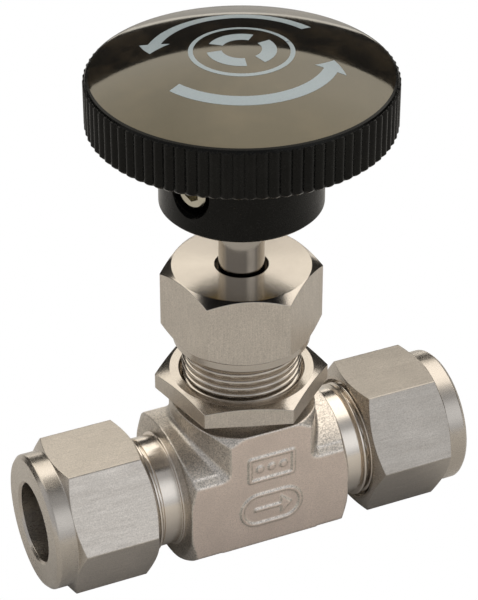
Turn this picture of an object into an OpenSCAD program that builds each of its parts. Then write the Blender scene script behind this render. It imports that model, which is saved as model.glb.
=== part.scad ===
// Needle valve: forged straight body, integral bonnet, round knob and
// double-ferrule ends for 1/2 inch (12.7 mm) tube.
// +X is the flow axis, +Z the stem axis, and they cross at the origin.
// All lengths are millimetres. The knob is drawn wound up to fully open.

/* [Tube ends] */
// Bore that takes the tube, through nut, ferrules and body socket
tube_bore_d = 12.9; // [12.8:0.05:13.0]
// Distance from the stem axis to the nose of a tube nut
nose_x = 36.35; // [35.8:0.05:37]
// Depth from the nose to the shoulder where the tube stops
tube_depth = 22.9; // [22.4:0.1:23.1]
// Tube nut, across its flats
tube_nut_af = 22.225; // [22:0.005:23.8]
// Tube nut, where its hexagon begins, from the stem axis
tube_hex_in = 20.09; // [19.8:0.01:20.4]
// Tube nut, where its hexagon ends, from the stem axis
tube_hex_out = 32.08; // [31.5:0.01:32.4]
// How far the left nut's front corner is turned up, degrees
left_nut_turn = 3.0; // [0:0.5:60]
// How far the right nut's front corner is turned up, degrees
right_nut_turn = 2.0; // [0:0.5:60]

/* [Body] */
// Body thickness, front flat to back flat
body_w = 23; // [22:0.5:24]
// Half height of the front and back flats
flat_half_h = 7.05; // [6.5:0.05:8]
// Height of the run's crown above the flow axis
run_top = 11.3; // [11:0.1:11.8]
// Distance from the stem axis to a machined end face of the body
end_face_x = 13.9; // [13.6:0.05:14.2]
// Half width of the upright column, side to side
column_half_side = 11.2; // [11:0.1:11.6]
// Height of the panel shoulder on top of the column
shoulder_z = 14.5; // [14:0.05:15]
// Height of the bonnet's top face
bonnet_top = 33; // [32.6:0.1:33.1]
// Orifice and flow passage diameter
passage_d = 6.4; // [5:0.2:6.4]

/* [Threads] */
// Outside diameter of the bonnet and tube-end threads
thread_d = 19.05; // [18.9:0.05:19.1]
// Thread pitch, 20 to the inch
pitch = 1.27; // [1:0.01:1.4]

/* [Nuts on the bonnet] */
// Packing nut, across its flats
packing_nut_af = 22.2; // [22:0.05:23]
// Packing nut, height of its top face
packing_nut_top = 39.15; // [38.9:0.05:39.4]
// Panel nut, across its flats
panel_nut_af = 24.1; // [23.8:0.1:25.4]
// Panel nut, height of its underside
panel_nut_z = 16; // [15.9:0.05:16.4]
// Direction of one corner of both nuts, degrees from +X
bonnet_nut_turn = -18.9; // [-60:0.1:60]

/* [Stem] */
// Polished stem diameter
stem_d = 7.24; // [7:0.02:7.3]
// Stem travel from open to closed, five turns
travel = 6.35; // [5:0.05:6.4]

/* [Knob] */
// Diameter over the ribs
knob_d = 47.2; // [44:0.2:50]
// Number of grip ribs
ribs = 84; // [60:4:96]
// Height of the rim's lower edge
rim_bottom = 64.1; // [63.5:0.1:65]
// Height where the rim meets the dome
rim_top = 72.1; // [71:0.1:73]
// Height of the dome's centre
dome_top = 76.3; // [75:0.1:78]
// Hub diameter
hub_d = 25.44; // [24.5:0.02:26]
// Height of the hub's lower face
hub_bottom = 50.4; // [50:0.1:51]
// Height of the set screw
screw_z = 57.2; // [56.5:0.1:58]
// Direction that the set screw faces, degrees from +X
screw_turn = 207; // [0:1:359]

/* [Hidden] */
$fn = 96;
eps = 0.01;

steel = [0.66, 0.61, 0.56];
bright_steel = [0.78, 0.74, 0.69];
forged_steel = [0.62, 0.58, 0.53];
seal_white = [0.93, 0.92, 0.88];
knob_black = [0.05, 0.05, 0.05];
brass_gold = [0.72, 0.58, 0.33];

// Clearances on the radius
thread_gap = 0.055;
slide_gap = 0.04;

thread_r = thread_d / 2;
thread_depth = 0.61 * pitch;
nut_bore_r = thread_r + thread_gap;
tube_r = tube_bore_d / 2;
passage_r = passage_d / 2;
half_w = body_w / 2;

// The run's crown and belly are two arcs through the edges of the flats
crown_rise = run_top - flat_half_h;
crown_r = (half_w * half_w + crown_rise * crown_rise) / (2 * crown_rise);
crown_drop = crown_r - run_top;

// Turned cone on each end of the run, and the collars next to it
end_cone_r = 11.7;
end_cone_slope = 0.59;
neck_r = 9;
bead_r = 9.45;
bead_w = 0.45;
neck_end = 17.3;
tube_end_x = 27.6;
ferrule_cone_r = 7.5;
ferrule_cone_len = 2.9;

// The column's sides are two arcs through the corners of its flats
column_corner = 7;
column_bulge = column_half_side - column_corner;
column_arc_r = (half_w * half_w + column_bulge * column_bulge) / (2 * column_bulge);

// Chamfer turned on the corners of the column's top
column_top_r = 12.25;
column_chamfer_slope = 0.958;

// Valve chamber, seat and guide bore along the stem axis
seat_z = 1.6;
inlet_z = -2.9;
outlet_z = 3.2;
outlet_start_x = 4.6;
chamber_r = 5.4;
chamber_top = 12;
guide_r = 5;
packing_floor = 24.5;
packing_r = 6.2;
relief_r = 9.1;
relief_top = 16.2;

stem_r = stem_d / 2;
stem_thread_r = guide_r - 0.05;
stem_thread_top = packing_floor - 0.15;
stem_thread_len = 10;
stem_top = 69.5;

// Swivelling tip at the foot of the stem, drawn lifted by the travel
tip_r = 3.6;
tip_nose_r = 1.2;
tip_slope = tan(30);
seat_touch_z = seat_z + travel;
tip_cone_top = seat_touch_z + (tip_r - passage_r) / tip_slope + 0.02;
tip_nose_z = seat_touch_z - (passage_r - tip_nose_r) / tip_slope + 0.02;
tip_top = tip_cone_top + 4;
button_r = 2.2;
button_z = tip_cone_top + 0.9;
button_h = 1.2;
button_neck_r = 1.3;
swivel_gap = 0.08;

// Packing stack, from the floor of its chamber upwards
ring_in = stem_r + slide_gap;
ring_out = packing_r - slide_gap;
washer_h = 0.9;
vee_h = 0.8;
ring_h = 1.2;
adapter_h = 0.8;
stack_gap = 0.04;
washer_z = packing_floor + stack_gap;
bottom_adapter_z = washer_z + washer_h + stack_gap;
lower_ring_z = bottom_adapter_z + adapter_h + stack_gap;
upper_ring_z = lower_ring_z + ring_h + stack_gap;
top_adapter_z = upper_ring_z + ring_h + stack_gap;
top_adapter_h = 1.9;
gland_z = top_adapter_z + top_adapter_h + 0.45;
gland_flange_z = bonnet_top + 0.6;
gland_top = packing_nut_top - 3.75;
gland_r = packing_r - 0.06;
gland_flange_r = 8.3;
gland_bore_r = stem_r + 0.08;

// Packing nut heights
packing_nut_bottom = 26;
packing_collar_top = 27.4;
packing_collar_r = 10.92;
packing_hex_bottom = 28.9;
packing_hex_top = packing_nut_top - 1.2;
packing_top_r = 10.95;
packing_nut_ceiling = gland_top + 0.05;
packing_nut_hole_r = 4.16;

// Panel nut heights
panel_ring_top = panel_nut_z + 0.6;
panel_ring_r = 11.4;
panel_hex_top = 19.19;
panel_nut_top = 19.98;
panel_top_r = 11.49;
panel_mouth_r = 10.09;

// Tube nut, along its own outward axis
tube_nut_in = 18.94;
tube_nut_in_r = 10.6;
nose_r = 11.05;
nose_root_x = tube_hex_out + 0.88;
nose_bevel = 0.6;
ferrule_room_r = 8.45;
ferrule_room_x = 28.7;
ferrule_seat_x = 30.75;

// Ferrules, along the same axis
front_ferrule_back_x = 29.3;
front_ferrule_r = 8.3;
back_ferrule_back_x = 31.0;
back_ferrule_r = 8.1;
ferrule_gap = 0.03;

// Knob
knob_r = knob_d / 2;
rib_depth = 0.42;
hub_r = hub_d / 2;
hub_edge = 0.5;
rim_edge = 0.4;
rim_lip_r = knob_r - 0.35;
rim_wall = 3.4;
recess_top = 67;
recess_hub_r = hub_r + 1.2;
dome_rise = dome_top - rim_top;
dome_r = (rim_lip_r * rim_lip_r + dome_rise * dome_rise) / (2 * dome_rise);
insert_r = 7.4;
insert_groove = 0.7;
insert_top = 66;
insert_bore_r = stem_r + 0.03;
screw_r = 2.5;
screw_face = 12;
screw_foot = stem_r - 0.35;
screw_socket_af = 2.5;
screw_socket_depth = 2.6;
screw_hole_r = 3.5;
screw_thread_gap = 0.04;

// Raised marks on the front flat
mark_h = 0.35;
mark_line = 0.5;
mark_frame_w = 8.2;
mark_frame_h = 4.9;
mark_frame_z = 7.8;
mark_oval_w = 10.9;
mark_oval_h = 6.3;
mark_oval_z = -0.2;

// Points of a ring thread from z0 to z1: crests at r, roots at r - depth
function thread_steps(z0, z1) = floor((z1 - z0) / pitch);
function thread_points(r, depth, z0, z1) = [
    for (i = [0 : thread_steps(z0, z1) - 1])
        for (p = [[r - depth, 0.06], [r, 0.44], [r, 0.56], [r - depth, 0.94]])
            [p[0], z0 + (i + p[1]) * pitch]
];

// Solid rod with a ring thread on its outside
module threaded_rod(r, depth, z0, z1) {
    crest = thread_points(r, depth, z0, z1);
    rotate_extrude()
        polygon(concat([[0, z0], [r - depth, z0]], crest, [[r - depth, z1], [0, z1]]));
}

// Tube from z0 to z1
module tube(outer_r, inner_r, z0, z1) {
    translate([0, 0, z0])
        difference() {
            cylinder(r = outer_r, h = z1 - z0);
            translate([0, 0, -eps])
                cylinder(r = inner_r, h = z1 - z0 + 2 * eps);
        }
}

// Radius of a round blank that just clears a hexagon's corners
function hex_blank_r(af) = af / 2 / cos(30) + 0.02;

// Hexagonal bar between two heights, one corner at the given direction
module hex_bar(af, z0, z1, turn) {
    rotate([0, 0, turn])
        translate([0, 0, z0])
            cylinder(r = af / 2 / cos(30), h = z1 - z0, $fn = 6);
}

// Turns a part drawn along +Z so that it points along -X or +X
module along_x(side) {
    rotate([0, side * 90, 0])
        children();
}

// Run of the forging, with its turned conical ends
module body_run() {
    run_len = 2 * end_face_x;
    cone_len = 10;
    intersection() {
        cube([run_len, body_w, 2 * run_top + 2], center = true);
        translate([0, 0, -crown_drop])
            along_x(1)
                cylinder(r = crown_r, h = run_len + 2, center = true);
        translate([0, 0, crown_drop])
            along_x(1)
                cylinder(r = crown_r, h = run_len + 2, center = true);
        end_cones(cone_len);
    }
}

// Bar between two opposed cones, which trims the run's corners
module end_cones(cone_len) {
    root_r = end_cone_r + cone_len / end_cone_slope;
    along_x(1)
        rotate_extrude()
            polygon([[0, -end_face_x], [end_cone_r, -end_face_x], [root_r, cone_len - end_face_x],
                     [root_r, end_face_x - cone_len], [end_cone_r, end_face_x], [0, end_face_x]]);
}

// Upright column between the run and the panel shoulder
module body_column() {
    arc_shift = column_arc_r - column_half_side;
    cone_root_r = column_top_r + shoulder_z * column_chamfer_slope;
    intersection() {
        cylinder(r1 = cone_root_r, r2 = column_top_r, h = shoulder_z);
        translate([-arc_shift, 0, -1])
            cylinder(r = column_arc_r, h = shoulder_z + 2);
        translate([arc_shift, 0, -1])
            cylinder(r = column_arc_r, h = shoulder_z + 2);
        translate([-column_half_side - 1, -half_w, -1])
            cube([2 * column_half_side + 2, body_w, shoulder_z + 2]);
    }
}

// Threaded end that takes one tube nut, drawn along +Z
module tube_end() {
    translate([0, 0, end_face_x - 1])
        cylinder(r = neck_r, h = neck_end - end_face_x + 1);
    translate([0, 0, end_face_x])
        cylinder(r = bead_r, h = bead_w);
    threaded_rod(thread_r, thread_depth, neck_end, tube_end_x);
}

// Tube socket and its ferrule cone, drawn along +Z
module tube_socket() {
    translate([0, 0, nose_x - tube_depth])
        cylinder(r = tube_r, h = tube_depth);
    translate([0, 0, tube_end_x - ferrule_cone_len])
        cylinder(r1 = tube_r, r2 = ferrule_cone_r, h = ferrule_cone_len);
    translate([0, 0, tube_end_x - eps])
        cylinder(r = ferrule_cone_r, h = 1);
}

// Inlet, orifice, chamber, guide bore and packing chamber
module body_bores() {
    stop_x = nose_x - tube_depth;
    translate([0, 0, inlet_z])
        along_x(-1)
            translate([0, 0, -passage_r])
                cylinder(r = passage_r, h = stop_x + passage_r + 1);
    translate([0, 0, outlet_z])
        along_x(1)
            translate([0, 0, outlet_start_x])
                cylinder(r = passage_r, h = stop_x - outlet_start_x + 1);
    translate([0, 0, inlet_z])
        cylinder(r = passage_r, h = seat_z - inlet_z + 1);
    translate([0, 0, seat_z])
        cylinder(r = chamber_r, h = chamber_top - seat_z);
    translate([0, 0, chamber_top - eps])
        cylinder(r = guide_r, h = packing_floor - chamber_top + 1);
    translate([0, 0, packing_floor])
        cylinder(r = packing_r, h = bonnet_top - packing_floor + 1);
}

// Raised outline marks: a frame with three dots, an oval with a flow arrow
module body_marks() {
    translate([0, -half_w + eps, 0])
        rotate([90, 0, 0])
            linear_extrude(mark_h + eps) {
                translate([0, mark_frame_z])
                    frame_mark();
                translate([0, mark_oval_z])
                    oval_mark();
            }
}

module frame_mark() {
    dot_pitch = mark_frame_w / 4;
    difference() {
        square([mark_frame_w, mark_frame_h], center = true);
        square([mark_frame_w - 2 * mark_line, mark_frame_h - 2 * mark_line], center = true);
    }
    for (i = [-1 : 1])
        translate([i * dot_pitch, 0])
            circle(r = mark_line);
}

module slot_shape(w, h) {
    square([w - h, h], center = true);
    for (s = [-1, 1])
        translate([s * (w - h) / 2, 0])
            circle(d = h);
}

module oval_mark() {
    head = 1.2;
    shaft = 2.6;
    difference() {
        slot_shape(mark_oval_w, mark_oval_h);
        slot_shape(mark_oval_w - 2 * mark_line, mark_oval_h - 2 * mark_line);
    }
    square([2 * shaft, mark_line], center = true);
    translate([shaft, 0])
        polygon([[-head, -head], [head, 0], [-head, head]]);
}

module body() {
    color(forged_steel)
        difference() {
            union() {
                body_run();
                body_column();
                cylinder(r = relief_r, h = relief_top);
                threaded_rod(thread_r, thread_depth, relief_top - eps, bonnet_top);
                for (side = [-1, 1])
                    along_x(side)
                        tube_end();
                body_marks();
            }
            for (side = [-1, 1])
                along_x(side)
                    tube_socket();
            body_bores();
        }
}

// Stem: polished rod, driving thread, and a button that holds the tip
module stem() {
    thread_bottom = stem_thread_top - stem_thread_len;
    flat_h = 2 * screw_r + 1.4;
    color(bright_steel)
        difference() {
            union() {
                translate([0, 0, stem_thread_top - eps])
                    cylinder(r = stem_r, h = stem_top - stem_thread_top - 0.8);
                translate([0, 0, stem_top - 0.8 - 2 * eps])
                    cylinder(r1 = stem_r, r2 = stem_r - 0.7, h = 0.8);
                threaded_rod(stem_thread_r, 0.7, thread_bottom, stem_thread_top);
                translate([0, 0, tip_top + swivel_gap])
                    cylinder(r = tip_r - 0.2, h = thread_bottom - tip_top);
                translate([0, 0, button_z + button_h - eps])
                    cylinder(r = button_neck_r, h = tip_top - button_z - button_h + 1);
                translate([0, 0, button_z])
                    cylinder(r = button_r, h = button_h);
            }
            rotate([0, 0, screw_turn])
                translate([screw_foot, -stem_r, screw_z - flat_h / 2])
                    cube([stem_r, stem_d, flat_h]);
        }
}

// Tip that swivels on the button, so it seats without scuffing
module stem_tip() {
    color(steel)
        difference() {
            rotate_extrude()
                polygon([[0, tip_nose_z], [tip_nose_r, tip_nose_z], [tip_r, tip_cone_top],
                         [tip_r, tip_top], [0, tip_top]]);
            translate([0, 0, button_z - swivel_gap])
                cylinder(r = button_r + swivel_gap, h = button_h + 2 * swivel_gap);
            translate([0, 0, button_z])
                cylinder(r = button_neck_r + swivel_gap, h = tip_top - button_z + 1);
        }
}

module packing_washer() {
    color(bright_steel)
        tube(ring_out, ring_in, washer_z, washer_z + washer_h);
}

// Ring between two outlines that are flat or peak by vee_h at mid width
module vee_ring(z0, z1, peak0, peak1) {
    mid = (ring_in + ring_out) / 2;
    rotate_extrude()
        polygon([[ring_in, z0], [mid, z0 + peak0], [ring_out, z0],
                 [ring_out, z1], [mid, z1 + peak1], [ring_in, z1]]);
}

module packing_bottom_adapter() {
    mid = (ring_in + ring_out) / 2;
    color(seal_white)
        rotate_extrude()
            polygon([[ring_in, bottom_adapter_z], [ring_out, bottom_adapter_z],
                     [ring_out, bottom_adapter_z + adapter_h],
                     [mid, bottom_adapter_z + adapter_h + vee_h],
                     [ring_in, bottom_adapter_z + adapter_h]]);
}

module packing_ring_lower() {
    color(seal_white)
        vee_ring(lower_ring_z, lower_ring_z + ring_h, vee_h, vee_h);
}

module packing_ring_upper() {
    color(seal_white)
        vee_ring(upper_ring_z, upper_ring_z + ring_h, vee_h, vee_h);
}

module packing_top_adapter() {
    mid = (ring_in + ring_out) / 2;
    color(seal_white)
        rotate_extrude()
            polygon([[ring_in, top_adapter_z], [mid, top_adapter_z + vee_h],
                     [ring_out, top_adapter_z],
                     [ring_out, top_adapter_z + top_adapter_h],
                     [ring_in, top_adapter_z + top_adapter_h]]);
}

module gland() {
    color(steel)
        difference() {
            union() {
                translate([0, 0, gland_z])
                    cylinder(r = gland_r, h = gland_top - gland_z);
                translate([0, 0, gland_flange_z])
                    cylinder(r = gland_flange_r, h = gland_top - gland_flange_z);
            }
            translate([0, 0, gland_z - 1])
                cylinder(r = gland_bore_r, h = gland_top - gland_z + 2);
        }
}

// Packing nut: hexagon, turned collar below, chamfered crown above
module packing_nut() {
    corner_r = hex_blank_r(packing_nut_af);
    color(steel)
        difference() {
            intersection() {
                hex_bar(packing_nut_af, packing_nut_bottom, packing_nut_top, bonnet_nut_turn);
                rotate_extrude()
                    polygon([[0, packing_nut_bottom], [packing_collar_r, packing_nut_bottom],
                             [packing_collar_r, packing_collar_top],
                             [corner_r, packing_hex_bottom], [corner_r, packing_hex_top],
                             [packing_top_r, packing_nut_top], [0, packing_nut_top]]);
            }
            translate([0, 0, packing_nut_bottom - 1])
                cylinder(r = nut_bore_r, h = packing_nut_ceiling - packing_nut_bottom + 1);
            translate([0, 0, packing_nut_bottom - 1])
                cylinder(r = packing_nut_hole_r, h = 20);
        }
}

// Panel nut: thin hexagon with a turned ring under it
module panel_nut() {
    corner_r = hex_blank_r(panel_nut_af);
    mouth_h = panel_mouth_r - nut_bore_r;
    color(steel)
        difference() {
            intersection() {
                hex_bar(panel_nut_af, panel_nut_z, panel_nut_top, bonnet_nut_turn);
                rotate_extrude()
                    polygon([[0, panel_nut_z], [panel_ring_r, panel_nut_z],
                             [panel_ring_r, panel_ring_top - 0.15],
                             [corner_r, panel_ring_top], [corner_r, panel_hex_top],
                             [panel_top_r, panel_nut_top], [0, panel_nut_top]]);
            }
            translate([0, 0, panel_nut_z - 1])
                cylinder(r = nut_bore_r, h = 10);
            translate([0, 0, panel_nut_top - mouth_h])
                cylinder(r1 = nut_bore_r, r2 = panel_mouth_r + eps, h = mouth_h + eps);
        }
}

// Knob outline: rim with grip ribs, domed top, hub and hollow underside
module knob_ribs() {
    step = 360 / ribs;
    outline = [
        for (i = [0 : ribs - 1])
            for (p = [[knob_r, -0.28], [knob_r, 0.28], [knob_r - rib_depth, 0.5]])
                [p[0] * cos((i + p[1]) * step), p[0] * sin((i + p[1]) * step)]
    ];
    translate([0, 0, rim_bottom - 1])
        linear_extrude(dome_top - rim_bottom + 2)
            polygon(outline);
}

module knob_rim() {
    intersection() {
        rotate_extrude()
            polygon([[0, rim_bottom], [knob_r - rim_edge, rim_bottom],
                     [knob_r, rim_bottom + rim_edge], [knob_r, rim_top - rim_edge],
                     [rim_lip_r, rim_top], [rim_lip_r, dome_top], [0, dome_top]]);
        translate([0, 0, dome_top - dome_r])
            sphere(r = dome_r);
        knob_ribs();
    }
}

module knob_hub() {
    rotate_extrude()
        polygon([[0, hub_bottom], [hub_r - hub_edge, hub_bottom],
                 [hub_r - 0.3 * hub_edge, hub_bottom + 0.3 * hub_edge],
                 [hub_r, hub_bottom + hub_edge], [hub_r, rim_bottom],
                 [recess_hub_r, recess_top + 1], [0, recess_top + 1]]);
}

module knob_recess() {
    recess_r = knob_r - rim_wall;
    difference() {
        translate([0, 0, rim_bottom - 1])
            cylinder(r1 = recess_r + 0.4, r2 = recess_r - 0.4, h = recess_top - rim_bottom + 1);
        knob_hub();
    }
}

module knob() {
    color(knob_black)
        difference() {
            union() {
                difference() {
                    knob_rim();
                    knob_recess();
                }
                knob_hub();
            }
            insert_blank(slide_gap);
            translate([0, 0, hub_bottom - 1])
                cylinder(r = insert_bore_r, h = stem_top + 0.5 - hub_bottom + 1);
            rotate([0, 0, screw_turn])
                translate([insert_r - 1, 0, screw_z])
                    rotate([0, 90, 0])
                        cylinder(r = screw_hole_r, h = hub_r);
        }
}

// Bush outline, grown by a gap: a round bar with one locking groove
module insert_blank(gap) {
    groove_z = hub_bottom + 11;
    r = insert_r + gap;
    rotate_extrude()
        polygon([[0, hub_bottom - gap], [r, hub_bottom - gap],
                 [r, groove_z + gap], [r - insert_groove, groove_z + insert_groove + gap],
                 [r - insert_groove, groove_z + 2 - gap], [r, groove_z + 2 + insert_groove - gap],
                 [r, insert_top + gap], [0, insert_top + gap]]);
}

// Bush moulded into the hub; it holds the stem and the set screw
module knob_insert() {
    color(brass_gold)
        difference() {
            insert_blank(0);
            translate([0, 0, hub_bottom - 1])
                cylinder(r = insert_bore_r, h = insert_top - hub_bottom + 2);
            rotate([0, 0, screw_turn])
                translate([0, 0, screw_z])
                    rotate([0, 90, 0])
                        cylinder(r = screw_r + screw_thread_gap, h = hub_r);
        }
}

module set_screw() {
    cone = 0.5;
    color(steel)
        rotate([0, 0, screw_turn])
            translate([0, 0, screw_z])
                rotate([0, 90, 0])
                    difference() {
                        rotate_extrude()
                            polygon([[0, screw_foot + slide_gap],
                                     [screw_r - 2 * cone, screw_foot + slide_gap],
                                     [screw_r, screw_foot + slide_gap + 2 * cone],
                                     [screw_r, screw_face - cone / 2],
                                     [screw_r - cone / 2, screw_face], [0, screw_face]]);
                        translate([0, 0, screw_face - screw_socket_depth])
                            cylinder(r = screw_socket_af / 2 / cos(30), h = screw_socket_depth + 1,
                                     $fn = 6);
                    }
}

// Tube nut drawn along +Z, its nose outwards
module tube_nut(turn) {
    corner_r = hex_blank_r(tube_nut_af);
    seat_len = ferrule_room_r - tube_r;
    mouth_h = 0.4;
    difference() {
        intersection() {
            hex_bar(tube_nut_af, tube_nut_in, nose_x, turn);
            rotate_extrude()
                polygon([[0, tube_nut_in], [tube_nut_in_r, tube_nut_in],
                         [corner_r, tube_hex_in], [corner_r, tube_hex_out],
                         [nose_r, nose_root_x], [nose_r, nose_x - nose_bevel],
                         [nose_r - nose_bevel, nose_x], [0, nose_x]]);
        }
        translate([0, 0, tube_nut_in - 1])
            cylinder(r = nut_bore_r, h = ferrule_room_x - tube_nut_in + 1);
        translate([0, 0, ferrule_room_x - eps])
            cylinder(r = ferrule_room_r, h = ferrule_seat_x - ferrule_room_x + eps);
        translate([0, 0, ferrule_seat_x - eps])
            cylinder(r1 = ferrule_room_r, r2 = tube_r - 0.1, h = seat_len + 0.1);
        translate([0, 0, tube_nut_in])
            cylinder(r = tube_r, h = nose_x - tube_nut_in + 1);
        translate([0, 0, nose_x - mouth_h])
            cylinder(r1 = tube_r - 0.1, r2 = tube_r + mouth_h, h = mouth_h + 0.1);
    }
}

// Front ferrule drawn along +Z: its cone closes the body's mouth
module front_ferrule() {
    tip_r0 = tube_r + 0.22;
    slope = (ferrule_cone_r - tube_r) / ferrule_cone_len;
    cone_x = tube_end_x + 0.4;
    tip_x = tube_end_x - ferrule_cone_len + 0.22 / slope + 0.12;
    rotate_extrude()
        polygon([[tube_r, tip_x], [tip_r0, tip_x],
                 [tip_r0 + slope * (cone_x - tip_x), cone_x], [front_ferrule_r, cone_x + 0.3],
                 [front_ferrule_r, front_ferrule_back_x],
                 [tube_r + 0.9, front_ferrule_back_x], [tube_r, front_ferrule_back_x - 0.9]]);
}

// Back ferrule drawn along +Z: its nose tucks under the front ferrule
module back_ferrule() {
    nose_len = 0.8;
    front = front_ferrule_back_x + ferrule_gap;
    chamfer = back_ferrule_r - tube_r - 0.35;
    rotate_extrude()
        polygon([[tube_r, front - nose_len], [tube_r + nose_len, front],
                 [back_ferrule_r, front],
                 [back_ferrule_r, back_ferrule_back_x],
                 [back_ferrule_r - chamfer, back_ferrule_back_x + chamfer],
                 [tube_r, back_ferrule_back_x + chamfer]]);
}

module left_nut() {
    color(steel)
        along_x(-1)
            tube_nut(30 + left_nut_turn);
}

module left_back_ferrule() {
    color(bright_steel)
        along_x(-1)
            back_ferrule();
}

module left_front_ferrule() {
    color(bright_steel)
        along_x(-1)
            front_ferrule();
}

module right_nut() {
    color(steel)
        along_x(1)
            tube_nut(30 - right_nut_turn);
}

module right_back_ferrule() {
    color(bright_steel)
        along_x(1)
            back_ferrule();
}

module right_front_ferrule() {
    color(bright_steel)
        along_x(1)
            front_ferrule();
}

body();
stem();
stem_tip();
packing_washer();
packing_bottom_adapter();
packing_ring_lower();
packing_ring_upper();
packing_top_adapter();
gland();
packing_nut();
panel_nut();
knob();
knob_insert();
set_screw();
left_nut();
left_back_ferrule();
left_front_ferrule();
right_nut();
right_back_ferrule();
right_front_ferrule();
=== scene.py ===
# Looks of the needle valve. Sizes here are millimetres in the CAD frame: +X along the flow,
# +Z up the stem. Turned pieces are drawn about their own Z axis and then laid in place.

import math

import bmesh
import bpy
import numpy as np
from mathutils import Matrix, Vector


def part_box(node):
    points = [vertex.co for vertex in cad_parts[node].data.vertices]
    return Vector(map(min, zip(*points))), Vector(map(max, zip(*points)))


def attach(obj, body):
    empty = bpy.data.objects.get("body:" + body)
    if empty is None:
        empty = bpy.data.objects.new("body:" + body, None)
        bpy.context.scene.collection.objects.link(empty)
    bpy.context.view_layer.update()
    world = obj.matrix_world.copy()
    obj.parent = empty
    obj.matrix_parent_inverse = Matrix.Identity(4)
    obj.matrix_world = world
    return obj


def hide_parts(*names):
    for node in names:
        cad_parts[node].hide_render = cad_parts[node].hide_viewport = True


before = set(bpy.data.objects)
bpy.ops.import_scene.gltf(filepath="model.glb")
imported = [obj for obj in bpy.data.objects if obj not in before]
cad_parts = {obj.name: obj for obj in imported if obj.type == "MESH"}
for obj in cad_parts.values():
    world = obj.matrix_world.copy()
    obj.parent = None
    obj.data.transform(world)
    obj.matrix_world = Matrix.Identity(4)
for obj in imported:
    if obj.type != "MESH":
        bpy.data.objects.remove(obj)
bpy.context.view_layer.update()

MM = 0.001
TAU = 2 * math.pi


# ---------------------------------------------------------------- sizes from the frame

def span(node, axis):
    """Lowest and highest value of a CAD node along one axis, in millimetres."""
    low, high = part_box(node)
    return low[axis] / MM, high[axis] / MM


X, Y, Z = 0, 1, 2
pitch = 1.27
body_half_w = span("body", Y)[1]
bonnet_top = span("body", Z)[1]
tube_end_x = span("body", X)[1]
nose_x = span("right_nut", X)[1]
nut_in_x = span("right_nut", X)[0]
packing_nut_low, packing_nut_top = span("packing_nut", Z)
panel_nut_low, panel_nut_top = span("panel_nut", Z)
hub_low, dome_top = span("knob", Z)
knob_r = span("knob", X)[1]
stem_low, stem_high = span("stem", Z)

thread_r = 9.525
thread_depth = 0.75
nut_bore_r = 9.58
tube_r = 6.45
stem_r = 3.62
bonnet_turn = -18.9
hub_r = 12.72
screw_turn = 207
screw_z = 57.2
screw_foot = stem_r - 0.35


# ---------------------------------------------------------------- mesh building

def finish_mesh(name, verts, faces, materials, tags, sharp=32):
    """Makes a closed mesh object from millimetre vertices, with outward faces."""
    mesh = bpy.data.meshes.new(name)
    mesh.from_pydata((np.asarray(verts) * MM).tolist(), [], [list(f) for f in faces])
    mesh.polygons.foreach_set("material_index", np.asarray(tags, np.int32))
    for material in materials:
        mesh.materials.append(material)
    work = bmesh.new()
    work.from_mesh(mesh)
    bmesh.ops.remove_doubles(work, verts=work.verts, dist=2e-7)
    bmesh.ops.dissolve_degenerate(work, edges=work.edges, dist=1e-8)
    if work.calc_volume(signed=True) < 0:
        bmesh.ops.reverse_faces(work, faces=work.faces)
    work.to_mesh(mesh)
    work.free()
    mesh.shade_smooth()
    mesh.set_sharp_from_angle(angle=math.radians(sharp))
    return add_object(name, mesh)


def add_object(name, data):
    made = bpy.data.objects.new(name, data)
    bpy.context.scene.collection.objects.link(made)
    return made


def soften(stations, turns, closed, steps=4):
    """Rounds the corners of a lathe outline. Each station is (r, z, corner radius, material).

    A guard row stands just outside each end of a rounded corner, so that the faces beyond it
    are shaded flat.
    """
    guard = 1.09
    count = len(stations)
    r = np.array([np.broadcast_to(s[0], turns.shape) for s in stations], float)
    z = np.array([np.broadcast_to(s[1], turns.shape) for s in stations], float)
    points = np.stack([r, z], -1)
    rows, tags = [], []
    for i, (_, _, radius, material) in enumerate(stations):
        here = points[i]
        at_end = not closed and i in (0, count - 1)
        if radius == 0 or at_end:
            rows.append(here)
            tags.append(material)
            continue
        before, after = points[i - 1] - here, points[(i + 1) % count] - here
        len_b = np.maximum(np.linalg.norm(before, axis=1), 1e-9)
        len_a = np.maximum(np.linalg.norm(after, axis=1), 1e-9)
        dir_b, dir_a = before / len_b[:, None], after / len_a[:, None]
        half = 0.5 * np.arccos(np.clip((dir_b * dir_a).sum(1), -1, 1))
        reach = radius / np.maximum(np.tan(half), 1e-6)
        reach = np.minimum(reach, 0.45 * np.minimum(len_b, len_a))[:, None]
        rows.append(here + dir_b * reach * guard)
        tags.append(stations[i - 1][3])
        for s in np.linspace(0, 1, steps + 1):
            rows.append(here + dir_b * reach * (1 - s) ** 2 + dir_a * reach * s ** 2)
            tags.append(material)
        rows.append(here + dir_a * reach * guard)
        tags.append(material)
    return np.array(rows), tags


def lathe(name, stations, turns, materials, closed=True, axis=None, steps=4):
    """Turned solid about Z: stations hold r and z as numbers or as arrays over turns."""
    rows, tags = soften(stations, turns, closed, steps)
    q, n = rows.shape[:2]
    radius, height = rows[..., 0], rows[..., 1]
    verts = np.stack([radius * np.cos(turns), radius * np.sin(turns), height], -1)
    index = np.arange(q * n).reshape(q, n)
    upper = np.roll(index, -1, 0)
    quads = np.stack([index, np.roll(index, -1, 1), np.roll(upper, -1, 1), upper], -1)
    face_tags = np.repeat(np.array(tags)[:, None], n, 1)
    if not closed:
        quads, face_tags = quads[:-1], face_tags[:-1]
    verts = lay(verts.reshape(-1, 3), axis)
    return finish_mesh(name, verts, quads.reshape(-1, 4), materials, face_tags.ravel())


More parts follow.
